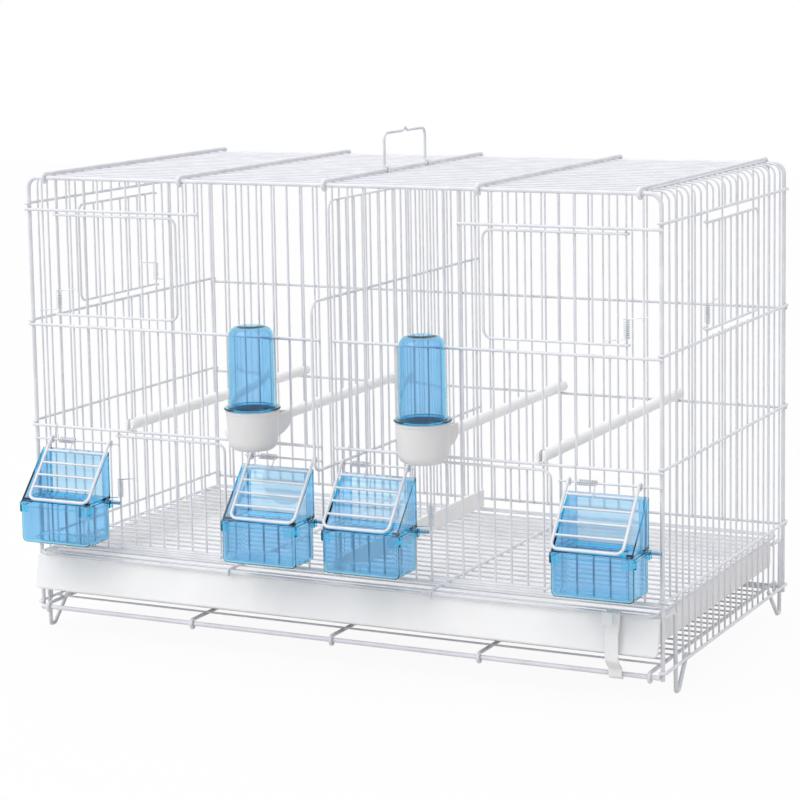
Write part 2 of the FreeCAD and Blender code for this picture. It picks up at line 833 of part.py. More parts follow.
def feeder_bin(x):
    """An open bin with a stepped rim, two front tabs and a lug at each side of its back."""
    back = -FEEDER_BACK
    front = back - FEEDER_DEPTH
    half = BIN_HALF
    outer = rounded_box(x - half, x + half, front, back, BIN_BOTTOM, RIM_Z, BIN_CORNER)
    wide = half + RIM_OUT
    rim = rounded_box(x - wide, x + wide, front - RIM_OUT, back, RIM_Z - RIM_HEIGHT, RIM_Z,
                      BIN_CORNER + RIM_OUT)
    shape = outer.fuse(rim)
    for side in (-1, 1):
        tab_x = x + side * (half - BIN_CORNER - TAB_WIDTH / 2)
        low = RIM_Z - RIM_HEIGHT - TAB_HEIGHT
        shape = shape.fuse(box(tab_x - TAB_WIDTH / 2, tab_x + TAB_WIDTH / 2,
                               front - TAB_OUT, front + BIN_WALL, low, RIM_Z))
        ends = sorted((x + side * (wide - BIN_WALL), x + side * (wide + LUG_WIDTH)))
        shape = shape.fuse(box(ends[0], ends[1], back - LUG_DEPTH, back,
                               RIM_Z - RIM_HEIGHT, RIM_Z - RIM_HEIGHT + LUG_HEIGHT))
    w = BIN_WALL
    inner = rounded_box(x - half + w, x + half - w, front + w, back - w, BIN_BOTTOM + w,
                        RIM_Z + w, BIN_CORNER - w)
    return [shape.cut(inner).removeSplitter()]


def hood_block(x, half, low, inset):
    """A solid wedge, upright at the back and sloping down to the front, drawn in by an inset."""
    run = (HOOD_FOOT_DEPTH - HOOD_TOP_DEPTH) / (HOOD_TOP - RIM_Z)
    back = -FEEDER_BACK - inset
    front = -FEEDER_BACK - HOOD_FOOT_DEPTH + inset * math.sqrt(1 + run * run)
    peak = RIM_Z + (back - front) / run
    foot_y = front + (low - RIM_Z) * run
    left = x - half + inset
    width = 2 * (half - inset)
    points = [V(left, back, low), V(left, back, peak), V(left, foot_y, low), V(left, back, low)]
    wedge = Part.Face(Part.makePolygon(points)).extrude(V(width, 0, 0))
    return wedge.common(box(left, left + width, foot_y, back, low, HOOD_TOP - inset))


def feeder_hood(x):
    """A hood: a sloping front, two side walls, a top and a back frame open towards the cage."""
    half = HOOD_HALF
    w = HOOD_WALL
    low = RIM_Z + WELD
    back = -FEEDER_BACK
    whole = hood_block(x, half, low, 0)
    inner = hood_block(x, half, low - w, w)
    opening = box(x - half + HOOD_STILE, x + half - HOOD_STILE, back - 2 * w, back + w,
                  low - w, HOOD_TOP - HOOD_LINTEL)
    return [whole.cut(inner).cut(opening).removeSplitter()]


# drinkers


def drinker_cup(x):
    """A round cup with a trough that reaches between two wires into the cage."""
    y = -HALF_D - DRINKER_OUT
    spot = V(x, y, CUP_BOTTOM)
    body = Part.makeCylinder(CUP_R, CUP_TOP - CUP_BOTTOM, spot)
    low = [e for e in body.Edges if abs(e.CenterOfMass.z - CUP_BOTTOM) < WELD and e.Closed]
    body = body.makeFillet(CUP_ROUND, low)
    back = -HALF_D + SPOUT_END
    trough = box(x - SPOUT_HALF, x + SPOUT_HALF, y, back, SPOUT_LOW, SPOUT_HIGH)
    shape = body.fuse(trough)
    w = CUP_WALL
    bore = Part.makeCylinder(CUP_R - w, CUP_TOP - CUP_BOTTOM, spot + V(0, 0, w))
    low = [e for e in bore.Edges if abs(e.CenterOfMass.z - CUP_BOTTOM - w) < WELD and e.Closed]
    bore = bore.makeFillet(CUP_ROUND - w, low)
    t = SPOUT_WALL
    channel = box(x - SPOUT_HALF + t, x + SPOUT_HALF - t, y, back - t, SPOUT_LOW + t,
                  SPOUT_HIGH + t)
    behind = box(x - SPOUT_HALF + t, x + SPOUT_HALF - t, y, y + CUP_R, SPOUT_LOW + t,
                 SPOUT_HIGH - t)
    return [shape.cut(bore).cut(channel).cut(behind).removeSplitter()]


def drinker_tube(x):
    """A domed tube, open below, whose flange rests over the cup."""
    y = -HALF_D - DRINKER_OUT
    height = TUBE_TOP - TUBE_BOTTOM
    body = Part.makeCylinder(TUBE_R, height, V(x, y, TUBE_BOTTOM))
    top = [e for e in body.Edges if abs(e.CenterOfMass.z - TUBE_TOP) < WELD and e.Closed]
    body = body.makeFillet(TUBE_DOME, top)
    flange = Part.makeCylinder(FLANGE_R, FLANGE_HEIGHT, V(x, y, CUP_TOP + GAP))
    w = TUBE_WALL
    bore = Part.makeCylinder(TUBE_R - w, height, V(x, y, TUBE_BOTTOM - w))
    top = [e for e in bore.Edges if abs(e.CenterOfMass.z - TUBE_TOP + w) < WELD and e.Closed]
    bore = bore.makeFillet(TUBE_DOME - w, top)
    return [body.fuse(flange).cut(bore).removeSplitter()]


# perches, divider, handle


def perch(interval):
    """A round perch whose slotted ends straddle a front and a back wire."""
    x = interval * FRONT_PITCH - HALF_W
    body = bar(V(x, -PERCH_HALF, PERCH_Z), V(x, PERCH_HALF, PERCH_Z), PERCH_R)
    h = PERCH_SLOT / 2
    for side in (-1, 1):
        ends = sorted((side * PERCH_HALF * 2, side * (PERCH_HALF - PERCH_SLOT_DEPTH)))
        body = body.cut(box(x - h, x + h, ends[0], ends[1], PERCH_Z - 2 * PERCH_R,
                            PERCH_Z + 2 * PERCH_R))
    return [body]


def divider_wires():
    """The screen: an outer wire bent over the top, and upright wires under it."""
    low = STRIP_TOP - WELD
    top = DIVIDER_TOP - WIRE_R
    d = DIVIDER_HALF
    solids = [bent([V(0, -d, low), V(0, -d, top), V(0, d, top), V(0, d, low)],
                   [DIVIDER_CORNER, DIVIDER_CORNER], WIRE_R)]
    first = -(DIVIDER_WIRE_COUNT - 1) / 2
    for k in range(DIVIDER_WIRE_COUNT):
        y = (first + k) * SIDE_PITCH
        solids.append(bar(V(0, y, low), V(0, y, top - WIRE_R + WELD), WIRE_R))
    return solids


def divider_pull():
    """The pull: two arms along the screen, joined by an upright in front of the cage."""
    x = -WIRE_R - PULL_R + WELD
    d = DIVIDER_HALF
    points = [V(x, d, PULL_HIGH), V(x, -PULL_FRONT, PULL_HIGH), V(x, -PULL_FRONT, PULL_LOW),
              V(x, d, PULL_LOW)]
    return [bent(points, [PULL_CORNER, PULL_CORNER], PULL_R)]


def divider_strip():
    d = DIVIDER_HALF + WIRE_R
    return [box(-STRIP_HALF, STRIP_HALF, -d, d, STRIP_BOTTOM, STRIP_TOP)]


def carry_handle():
    """A wire bail whose eyes ring the middle strut."""
    reach = STRUT_R + RUNNING + HANDLE_R
    b = HANDLE_BEND
    knee_z = STRUT_Z + reach + b
    h = HANDLE_HALF
    u = V(0, 0, 1)
    v = V(-1, 0, 0)
    eye_f = turn(V(0, -h, STRUT_Z), u, v, reach, -HANDLE_EYE_ANGLE, 0)
    eye_b = turn(V(0, h, STRUT_Z), u, v, reach, 0, -HANDLE_EYE_ANGLE)
    s = math.sqrt(1 / 2)
    bend_f = arc(V(0, -h, knee_z - b), V(-b * s, -h, knee_z - b * s), V(-b, -h, knee_z))
    bend_b = arc(V(-b, h, knee_z), V(-b * s, h, knee_z - b * s), V(0, h, knee_z - b))
    z = HANDLE_TOP
    p = HANDLE_PEAK_HALF
    points = [V(-b, -h, knee_z), V(-b, -h, z), V(-b, -p, z), V(-b, 0, z + HANDLE_PEAK),
              V(-b, p, z), V(-b, h, z), V(-b, h, knee_z)]
    radii = [HANDLE_CORNER, HANDLE_BEND, HANDLE_BEND, HANDLE_BEND, HANDLE_CORNER]
    return [pipe([eye_f, bend_f] + corner_edges(points, radii) + [bend_b, eye_b], HANDLE_R)]


# tray, grid, clip


def floor_grid():
    """The rim, two supports hooked over it, and the cross wires."""
    g = GRID_HALF
    f = -GRID_FRONT
    b = GRID_BACK
    points = [V(0, b, GRID_Z), V(-g, b, GRID_Z), V(-g, f, GRID_Z), V(g, f, GRID_Z),
              V(g, b, GRID_Z), V(GRID_R, b, GRID_Z)]
    solids = [bent(points, [GRID_CORNER] * 4, GRID_R)]
    reach = GRID_SUPPORT_Z - GRID_Z
    for x in (-GRID_SUPPORT_X, GRID_SUPPORT_X):
        hook = turn(V(x, f, GRID_Z), V(0, 0, 1), V(0, -1, 0), reach, GRID_HOOK_ANGLE, 0)
        line = straight(V(x, f, GRID_SUPPORT_Z), V(x, b, GRID_SUPPORT_Z))
        solids.append(pipe([hook, line], GRID_R))
    end = g - GRID_R + WELD
    for index in range(0, SIDE_INTERVALS):
        y = side_y(index)
        if y < b - SIDE_PITCH / 2:
            solids.append(bar(V(-end, y, GRID_WIRE_Z), V(end, y, GRID_WIRE_Z), WIRE_R))
    return solids


def tray():
    """The pull-out tray: a shallow pan behind a leaning front with a lip under it."""
    w = TRAY_WALL
    front = -TRAY_FRONT
    pan = box(-TRAY_HALF, TRAY_HALF, front, TRAY_BACK, TRAY_FLOOR, TRAY_TOP)
    pan = pan.cut(box(-TRAY_HALF + w, TRAY_HALF - w, front + w, TRAY_BACK - w, TRAY_FLOOR + w,
                      TRAY_TOP + w))
    lean = front - FASCIA_LEAN
    points = [V(0, front + w, TRAY_TOP), V(0, front - w, TRAY_TOP), V(0, lean - w, FASCIA_BOTTOM),
              V(0, lean + FASCIA_LIP, FASCIA_BOTTOM), V(0, lean + FASCIA_LIP, FASCIA_BOTTOM + w),
              V(0, lean + w / 2, FASCIA_BOTTOM + w), V(0, front + w, TRAY_TOP)]
    face = Part.Face(Part.makePolygon(points))
    face.translate(V(-FASCIA_HALF, 0, 0))
    fascia = face.extrude(V(2 * FASCIA_HALF, 0, 0))
    return [pan.fuse(fascia).removeSplitter()]


def strap(edges, half, thick):
    """A flat strap along planar edges, as wide as twice half."""
    first = edges[0]
    start = start_of(first)
    along = first.tangentAt(first.FirstParameter)
    side = V(half, 0, 0)
    across = along.cross(V(1, 0, 0)).normalize() * (thick / 2)
    ring = Part.makePolygon([start - side - across, start + side - across,
                             start + side + across, start - side + across,
                             start - side - across])
    solid = Part.Wire(edges).makePipeShell([ring], True, False)
    if solid.Volume < 0:
        solid.reverse()
    return solid


def tray_clip():
    """A strap: a ring over the grid's front wire with a tab before it, a bow and a hook below."""
    x = CLIP_X
    ring_r = GRID_R + RUNNING + CLIP_THICK / 2
    rim = V(x, -GRID_FRONT, GRID_Z)
    ring = turn(rim, V(0, 1, 0), V(0, 0, 1), ring_r, CLIP_BACK_ANGLE, 2 * SQUARE_ANGLE)
    rail = V(x, -HALF_D - BASE_OUT, BASE_Z)
    hook_r = BASE_R + CLIP_HOOK_GAP + CLIP_THICK / 2
    hook = turn(rail, V(0, 1, 0), V(0, 0, 1), hook_r, 2 * SQUARE_ANGLE, 3 * SQUARE_ANGLE)
    top = end_of(ring)
    low = start_of(hook)
    points = [top, V(x, top.y, GRID_Z - CLIP_CORNER), V(x, -CLIP_BOW, CLIP_BOW_HIGH),
              V(x, -CLIP_BOW, CLIP_BOW_LOW), V(x, low.y, low.z + CLIP_CORNER), low]
    radii = [CLIP_CORNER, CLIP_CORNER, CLIP_CORNER, CLIP_CORNER / 2]
    body = strap([ring] + corner_edges(points, radii) + [hook], CLIP_HALF, CLIP_THICK)
    left = x - CLIP_TAB_SHIFT - CLIP_TAB_WIDTH / 2
    face = top.y - CLIP_THICK / 2
    tab = box(left, left + CLIP_TAB_WIDTH, face - CLIP_TAB_DEPTH, face + CLIP_THICK / 2,
              GRID_Z - CLIP_TAB_BELOW, GRID_Z + CLIP_TAB_ABOVE)
    return [body.fuse(tab).removeSplitter()]


# files


os.makedirs("parts", exist_ok=True)

save("front_frame", heavy_frame(-HALF_D))
save("front_rails", front_rails())
save("front_wires", front_wires())
save("flap_hinge_wires", flap_hinge_wires())
save("back_frame", heavy_frame(HALF_D))
save("back_rails", back_rails())
save("back_wires", back_wires())
rails = side_rails()
save("right_side_rails", rails)
save("left_side_rails", turned(rails, 2 * SQUARE_ANGLE))
wires = side_wires()
save("right_side_wires", wires)
save("left_side_wires", turned(wires, 2 * SQUARE_ANGLE))
save("roof_struts", roof_struts())
save("roof_wires", roof_wires())
save("base_rails", base_rails())
save("base_struts", base_struts())
save("base_wires", base_wires())
save("feet", feet())

for door_name, leaf in front_doors().items():
    save(door_name, leaf)
leaf = side_door()
save("right_side_door", turned(leaf, SQUARE_ANGLE))
save("left_side_door", turned(leaf, -SQUARE_ANGLE))

for spring_name, coil_solid in springs().items():
    save(spring_name, coil_solid)

for number, place in enumerate(FLAP_X):
    save("feeder_flap_" + str(number + 1), flap(place))
for number, place in enumerate(HOOD_X):
    save("feeder_bin_" + str(number + 1), feeder_bin(place))
    save("feeder_hood_" + str(number + 1), feeder_hood(place))
for number, place in enumerate(DRINKER_X):
    save("drinker_cup_" + str(number + 1), drinker_cup(place))
    save("drinker_tube_" + str(number + 1), drinker_tube(place))
for number, place in enumerate(PERCH_INTERVALS):
    save("perch_" + str(number + 1), perch(place))

save("divider_wires", divider_wires())
save("divider_pull", divider_pull())
save("divider_strip", divider_strip())
save("carry_handle", carry_handle())
save("floor_grid", floor_grid())
save("tray", tray())
save("tray_clip", tray_clip())
print("files:", len(os.listdir("parts")))
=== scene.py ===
"""The dressed breeding cage: coats on the CAD wires, and new plastic pieces and springs."""

import math

import bmesh
import bpy
from mathutils import Matrix, Vector


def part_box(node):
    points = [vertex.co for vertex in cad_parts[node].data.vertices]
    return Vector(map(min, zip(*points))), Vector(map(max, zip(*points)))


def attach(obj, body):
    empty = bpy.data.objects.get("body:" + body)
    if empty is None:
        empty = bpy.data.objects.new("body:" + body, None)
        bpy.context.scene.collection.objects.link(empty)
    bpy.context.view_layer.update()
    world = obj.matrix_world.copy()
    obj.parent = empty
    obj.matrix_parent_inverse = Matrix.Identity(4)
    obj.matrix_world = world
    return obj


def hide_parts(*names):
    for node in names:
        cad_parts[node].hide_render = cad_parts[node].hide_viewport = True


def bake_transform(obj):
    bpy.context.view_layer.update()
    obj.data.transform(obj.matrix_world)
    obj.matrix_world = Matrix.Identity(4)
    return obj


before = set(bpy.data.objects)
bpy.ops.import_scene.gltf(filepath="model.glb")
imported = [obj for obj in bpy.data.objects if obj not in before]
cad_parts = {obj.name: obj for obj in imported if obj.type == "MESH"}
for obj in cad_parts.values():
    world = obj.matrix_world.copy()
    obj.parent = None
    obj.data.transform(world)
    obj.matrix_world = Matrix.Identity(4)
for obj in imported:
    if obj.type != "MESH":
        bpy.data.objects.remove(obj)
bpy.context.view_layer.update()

MM = 0.001
FINE = 1e-6
QUARTER_TURN = math.pi / 2
RIGHT_ANGLE = 90
ROUND_ANGLE = 360

# mesh detail
CORNER_STEPS = 5
FILLET_STEPS = 4
LATHE_STEPS = 64
WIRE_SIDES = 10
COIL_STEPS = 28
SHARP_ANGLE = math.radians(38)
NORMAL_WEIGHT = 100
EDGE_SEGMENTS = 2

# feeders
WALL = 1.5 * MM
BIN_CORNER = 4.5 * MM
BIN_FOOT = 4.4 * MM
BIN_FLOOR = 1.6 * MM
RIM_HEIGHT = 4.0 * MM
RIM_OUT = 1.0 * MM
RIM_EDGE = 0.4 * MM
LUG_LENGTH = 9.0 * MM
TAB_OUT = 0.6 * MM
TAB_PROUD = 1.6 * MM
TAB_IN = 2.0 * MM
TAB_WIDTH = 8.0 * MM
TAB_HEIGHT = 8.5 * MM
BACK_TAB_DEPTH = 6.0 * MM
BACK_TAB_HEIGHT = 7.0 * MM
LUG_HEIGHT = 3.0 * MM
LUG_DEPTH = 1.7 * MM
LUG_END = 1.2 * MM
HOOD_STILE = 8.0 * MM
HOOD_LINTEL = 4.6 * MM
HOOD_GAP_DEPTH = 2.0 * MM
HOOD_TOP_DEPTH = 0.8 * MM
LEDGE_HEIGHT = 2.2 * MM
LEDGE_WIDTH = 8.0 * MM
LEDGE_SETBACK = 2.8 * MM
SOFT_EDGE = 0.35 * MM

# drinkers
CUP_WALL = 1.6 * MM
CUP_ROUND = 8.0 * MM
CUP_R = 22.5 * MM
CUP_RIM = 0.5 * MM
CUP_RIM_HEIGHT = 3.0 * MM
CUP_TAPER = 1.3 * MM
SPOUT_HALF = 5.5 * MM
SPOUT_WALL = 1.4 * MM
SPOUT_LOW = 4.6 * MM
SPOUT_TOP_DROP = 10.0 * MM
SPOUT_END_HEIGHT = 9.0 * MM
SPOUT_STEPS = 8
TUBE_R = 19.6 * MM
TUBE_TAPER = 0.7 * MM
TUBE_WALL = 1.5 * MM
TUBE_DOME = 9.0 * MM
TUBE_DISC_R = 8.8 * MM
TUBE_DISC_RISE = 0.35 * MM
TUBE_DISC_SLOPE = 0.7 * MM
FLANGE_Z = 12.35 * MM
FLANGE_HEIGHT = 1.7 * MM

# tray, perches, strip
TRAY_CORNER = 6.0 * MM
TRAY_WALL = 2.0 * MM
TRAY_FOOT = 2.0 * MM
FASCIA_LEAN = 6.0 * MM
FASCIA_LIP = 7.0 * MM
FASCIA_SIDE = 5.0 * MM
FASCIA_ROUND = 2.5 * MM
FASCIA_CORNER = 4.5 * MM
PAN_RISE = 5.5 * MM
PERCH_SLOT = 2.8 * MM
PERCH_SLOT_DEPTH = 8.6 * MM
PERCH_EDGE = 0.8 * MM
STRIP_ROUND = 1.2 * MM

# springs
SPRING_R = 0.42 * MM
SPRING_MEAN_R = 2.2 * MM
SPRING_LENGTH = 15.6 * MM
SPRING_TURNS = 9
DOOR_LEG = 19.0 * MM
FLAP_LEG = 17.5 * MM
FLAP_LEG_TILT = math.radians(11.0)
FLAP_UP_LEG = 13.6 * MM
HOOK_R = 1.2 * MM
HOOK_TAIL = 0.5 * MM
COIL_END = math.radians(ROUND_ANGLE * SPRING_TURNS - RIGHT_ANGLE)
FLAP_ANGLE = math.radians(51.3)
FLAP_COIL_END = COIL_END - (QUARTER_TURN - FLAP_ANGLE) - FLAP_LEG_TILT

# textures: how far they rise, and the part of a noise that a colour ramp covers.
# A noise is given by its scale per metre, its octaves and, where it isn't 0.5, its roughness.
SKIN_DEPTH = 0.1 * MM
STEEL_MARK_DEPTH = 0.05 * MM
COLOUR_FROM = 0.3
COLOUR_TO = 0.7

# powder coat
COAT_CLOUD = (60, 3)
COAT_PEEL = (1400, 2)
COAT_COLOURS = ((0.68, 0.685, 0.725), (0.78, 0.785, 0.82))
COAT_ROUGHNESS = (0.3, 0.48)
COAT_GLOSS = 0.25
COAT_GLOSS_ROUGHNESS = 0.25
COAT_BUMP = 0.25

# spring steel
STEEL_MARKS = (2600, 3, 0.7)
STEEL_CLOUD = (220, 2)
STEEL_COLOURS = ((0.60, 0.62, 0.66), (0.82, 0.84, 0.87))
STEEL_ROUGHNESS = (0.22, 0.42)
STEEL_BUMP = 0.15

# clear blue plastic: its surfaces take a little green, and its depth takes the red
BLUE_FLOW = (55, 2)
BLUE_SPECK = (900, 2)
BLUE_COLOURS = ((0.86, 0.77, 0.93), (0.91, 0.82, 0.98))
BLUE_ROUGHNESS = (0.02, 0.07)
BLUE_IOR = 1.49
BLUE_BUMP = 0.03
BLUE_LETS_THROUGH = (0.0, 0.92, 0.99, 1)
BLUE_DENSITY = 340

# white plastics
PLASTIC_CLOUD = (25, 3)
PLASTIC_DETAIL = 3
PLASTIC_ROUGHNESS_SPAN = 0.12
PLASTIC_GLOW = 0.08
PLASTIC_GLOW_DEPTH = 2.0 * MM
PLASTIC_BUMP = 0.12
TRAY_COLOURS = ((0.87, 0.865, 0.86), (0.92, 0.915, 0.91))
CUP_COLOURS = ((0.71, 0.70, 0.70), (0.76, 0.75, 0.75))
PERCH_COLOURS = ((0.84, 0.84, 0.83), (0.90, 0.90, 0.89))

# camera: place, turn about its own axes, and lens
CAMERA_AT = Vector((0.9543649, -1.9342093, 0.5757309))
CAMERA_TURN = Vector((0.134, 0.4604, 0.0137))
FOCAL_PX = 2476.38
IMAGE_PX = 800
SENSOR_MM = 36.0
AXIS_ROW_PX = 300

# light: the sky is brightest towards one side, where SKY_SIDE points
WHITE = (1, 1, 1, 1)
SKY_COLOUR = (0.98, 0.985, 1.0, 1)
SKY_LOW = 0.24
SKY_HIGH = 1.78
SKY_SIDE = (-0.25, -0.1, 0.96)
KEY_AT = (-1.6, -2.2, 2.6)
KEY_SIZE = 2.0
KEY_POWER = 24.0
FILL_AT = (2.4, -1.2, 1.8)
FILL_SIZE = 2.4
FILL_POWER = 5.0
LAMP_AIM = Vector((0, 0, 0.2))
FLOOR_COLOUR = (0.68, 0.68, 0.68, 1)
FLOOR_ROUGHNESS = 0.9
FLOOR_SIZE = 9.0

# the share of plain white in the floor that the camera sees; the rest keeps the shadow
FLOOR_GLOW = 0.94


# materials


def node(tree, kind, **values):
    n = tree.nodes.new(kind)
    for key, value in values.items():
        setattr(n, key, value)
    return n


def plain_tree(name):
    """A material with only a Principled shader, and the object's own coordinates to work from."""
    material = bpy.data.materials.new(name)
    material.use_nodes = True
    tree = material.node_tree
    shader = tree.nodes["Principled BSDF"]
    place = node(tree, "ShaderNodeTexCoord").outputs["Object"]
    return material, tree, shader, place


def noise(tree, place, scale, detail, roughness=0.5):
    """A noise over the object's own coordinates, from nought to one."""
    n = node(tree, "ShaderNodeTexNoise")
    n.inputs["Scale"].default_value = scale
    n.inputs["Detail"].default_value = detail
    n.inputs["Roughness"].default_value = roughness
    tree.links.new(place, n.inputs["Vector"])
    return n.outputs["Fac"]


def between(tree, factor, low, high):
    """A colour ramp from low to high, driven by a factor."""
    ramp = node(tree, "ShaderNodeValToRGB")
    first, last = ramp.color_ramp.elements
    first.position, last.position = COLOUR_FROM, COLOUR_TO
    first.color = (*low, 1)
    last.color = (*high, 1)
    tree.links.new(factor, ramp.inputs["Fac"])
    return ramp.outputs["Color"]


def spread(tree, factor, low, high):
    """A number that runs from low to high with a factor."""
    n = node(tree, "ShaderNodeMapRange")
    n.inputs["To Min"].default_value = low
    n.inputs["To Max"].default_value = high
    tree.links.new(factor, n.inputs["Value"])
    return n.outputs["Result"]


def bump(tree, shader, height, strength, distance):
    """Raises the surface by a height as far as a distance."""
    n = node(tree, "ShaderNodeBump")
    n.inputs["Strength"].default_value = strength
    n.inputs["Distance"].default_value = distance
    tree.links.new(height, n.inputs["Height"])
    tree.links.new(n.outputs["Normal"], shader.inputs["Normal"])


def powder_coat():
    """White powder coat on steel wire: an orange-peel skin with faint cloudy tints."""
    material, tree, shader, place = plain_tree("powder_coat_white")
    cloud = noise(tree, place, *COAT_CLOUD)
    peel = noise(tree, place, *COAT_PEEL)
    tree.links.new(between(tree, cloud, *COAT_COLOURS), shader.inputs["Base Color"])
    tree.links.new(spread(tree, peel, *COAT_ROUGHNESS), shader.inputs["Roughness"])
    shader.inputs["Coat Weight"].default_value = COAT_GLOSS
    shader.inputs["Coat Roughness"].default_value = COAT_GLOSS_ROUGHNESS
    bump(tree, shader, peel, COAT_BUMP, SKIN_DEPTH)
    return material


def spring_steel():
    """Bright drawn steel with fine draw marks."""
    material, tree, shader, place = plain_tree("spring_steel")
    marks = noise(tree, place, *STEEL_MARKS)
    cloud = noise(tree, place, *STEEL_CLOUD)
    tree.links.new(between(tree, cloud, *STEEL_COLOURS), shader.inputs["Base Color"])
    shader.inputs["Metallic"].default_value = 1.0
    tree.links.new(spread(tree, marks, *STEEL_ROUGHNESS), shader.inputs["Roughness"])
    bump(tree, shader, marks, STEEL_BUMP, STEEL_MARK_DEPTH)
    return material


def blue_plastic():
    """Clear blue moulded plastic: it takes its colour from the depth that the light crosses."""
    material, tree, shader, place = plain_tree("clear_blue_plastic")
    flow = noise(tree, place, *BLUE_FLOW)
    speck = noise(tree, place, *BLUE_SPECK)
    tree.links.new(between(tree, flow, *BLUE_COLOURS), shader.inputs["Base Color"])
    shader.inputs["Transmission Weight"].default_value = 1.0
    shader.inputs["IOR"].default_value = BLUE_IOR
    tree.links.new(spread(tree, speck, *BLUE_ROUGHNESS), shader.inputs["Roughness"])
    bump(tree, shader, flow, BLUE_BUMP, SKIN_DEPTH)
    depth = node(tree, "ShaderNodeVolumeAbsorption")
    depth.inputs["Color"].default_value = BLUE_LETS_THROUGH
    depth.inputs["Density"].default_value = BLUE_DENSITY
    output = tree.nodes["Material Output"]
    tree.links.new(depth.outputs["Volume"], output.inputs["Volume"])
    return material


def white_plastic(name, colours, roughness, grain):
    """Moulded white plastic with a faint skin texture and slow colour drift."""
    material, tree, shader, place = plain_tree(name)
    cloud = noise(tree, place, *PLASTIC_CLOUD)
    skin = noise(tree, place, grain, PLASTIC_DETAIL)
    tree.links.new(between(tree, cloud, *colours), shader.inputs["Base Color"])
    level = spread(tree, skin, roughness, roughness + PLASTIC_ROUGHNESS_SPAN)
    tree.links.new(level, shader.inputs["Roughness"])
    shader.inputs["Subsurface Weight"].default_value = PLASTIC_GLOW
    shader.inputs["Subsurface Scale"].default_value = PLASTIC_GLOW_DEPTH
    bump(tree, shader, skin, PLASTIC_BUMP, SKIN_DEPTH)
    return material


WIRE_COAT = powder_coat()
STEEL = spring_steel()
BLUE = blue_plastic()
TRAY_WHITE = white_plastic("tray_plastic", TRAY_COLOURS, roughness=0.32, grain=700)
CUP_WHITE = white_plastic("cup_plastic", CUP_COLOURS, roughness=0.28, grain=900)
PERCH_WHITE = white_plastic("perch_plastic", PERCH_COLOURS, roughness=0.42, grain=500)


# mesh tools


def add_object(name, mesh, material):
    """A new object with one material, smooth but for its sharp edges."""
    piece = bpy.data.objects.new(name, mesh)
    bpy.context.scene.collection.objects.link(piece)
    mesh.materials.clear()
    mesh.materials.append(material)
    mesh.shade_smooth()
    mesh.set_sharp_from_angle(angle=SHARP_ANGLE)
    return piece


def to_mesh(name, verts, faces):
    """A mesh from points and faces, with its normals turned outwards."""
    mesh = bpy.data.meshes.new(name)
    mesh.from_pydata([tuple(v) for v in verts], [], faces)
    work = bmesh.new()
    work.from_mesh(mesh)
    bmesh.ops.recalc_face_normals(work, faces=work.faces)
    work.to_mesh(mesh)
    work.free()
    return mesh


def loft(loops):
    """Points and faces of a closed skin over loops of equal length, capped at both ends."""
    verts = [p for loop in loops for p in loop]
    count = len(loops[0])
    faces = [list(range(count))]
    for k in range(len(loops) - 1):
        for i in range(count):
            j = (i + 1) % count
            low, high = k * count, (k + 1) * count
            faces.append([low + i, low + j, high + j, high + i])
    last = (len(loops) - 1) * count
    faces.append([last + i for i in range(count)])
    return verts, faces


def ring(x0, x1, y0, y1, radius, z):
    """A level loop round a rectangle with rounded corners."""
    points = []
    turn = RIGHT_ANGLE
    corners = ((x1 - radius, y0 + radius, -turn), (x1 - radius, y1 - radius, 0),
               (x0 + radius, y1 - radius, turn), (x0 + radius, y0 + radius, 2 * turn))
    for cx, cy, start in corners:
        for k in range(CORNER_STEPS + 1):
            a = math.radians(start + turn * k / CORNER_STEPS)
            points.append((cx + radius * math.cos(a), cy + radius * math.sin(a), z))
    return points


def quarter(radius):
    """Inset and rise along a rounded bottom edge."""
    steps = []
    for k in range(FILLET_STEPS + 1):
        a = QUARTER_TURN * k / FILLET_STEPS
        steps.append((radius * (1 - math.sin(a)), radius * (1 - math.cos(a))))
    return steps


def vessel(x0, x1, y0, y1, corner, profile):
    """An open vessel over a rounded rectangle. Its profile runs from outer floor to inner floor."""
    loops = []
    for inset, z in profile:
        radius = max(corner - inset, SOFT_EDGE)
        loops.append(ring(x0 + inset, x1 - inset, y0 + inset, y1 - inset, radius, z))
    return loft(loops)


def prism(points, axis, a, b):
    """A flat outline, drawn in the two other axes in their order, pushed along one axis."""
    loops = []
    for along in (a, b):
        loop = []
        for p, q in points:
            spot = [p, q]
            spot.insert(axis, along)
            loop.append(tuple(spot))
        loops.append(loop)
    return loft(loops)


def box_points(x0, x1, y0, y1):
    """The outline of a rectangle."""
    return [(x0, y0), (x1, y0), (x1, y1), (x0, y1)]


def lathe(centre, profile, axis=2):
    """A closed outline of radius and height, turned about an upright or a level axis."""
    loops = []
    for k in range(LATHE_STEPS):
        a = math.tau * k / LATHE_STEPS
        loop = []
        for radius, rise in profile:
            spot = [radius * math.cos(a), radius * math.sin(a)]
            spot.insert(axis, rise)
            loop.append(tuple(Vector(spot) + centre))
        loops.append(loop)
    verts = [p for loop in loops for p in loop]
    count = len(profile)
    faces = []
    for k in range(LATHE_STEPS):
        here, there = k * count, (k + 1) % LATHE_STEPS * count
        for i in range(count):
            j = (i + 1) % count
            faces.append([here + i, here + j, there + j, there + i])
    return verts, faces


def welded(mesh):
    """Joins points that fall together, such as those on a lathe's axis."""
    work = bmesh.new()
    work.from_mesh(mesh)
    bmesh.ops.remove_doubles(work, verts=work.verts, dist=FINE)
    bmesh.ops.dissolve_degenerate(work, edges=work.edges, dist=FINE)
    bmesh.ops.recalc_face_normals(work, faces=work.faces)
    work.to_mesh(mesh)
    work.free()
    return mesh


def baked(piece):
    """The piece's mesh with its modifiers applied."""
    graph = bpy.context.evaluated_depsgraph_get()
    mesh = bpy.data.meshes.new_from_object(piece.evaluated_get(graph))
    piece.modifiers.clear()
    piece.data = mesh
    return mesh


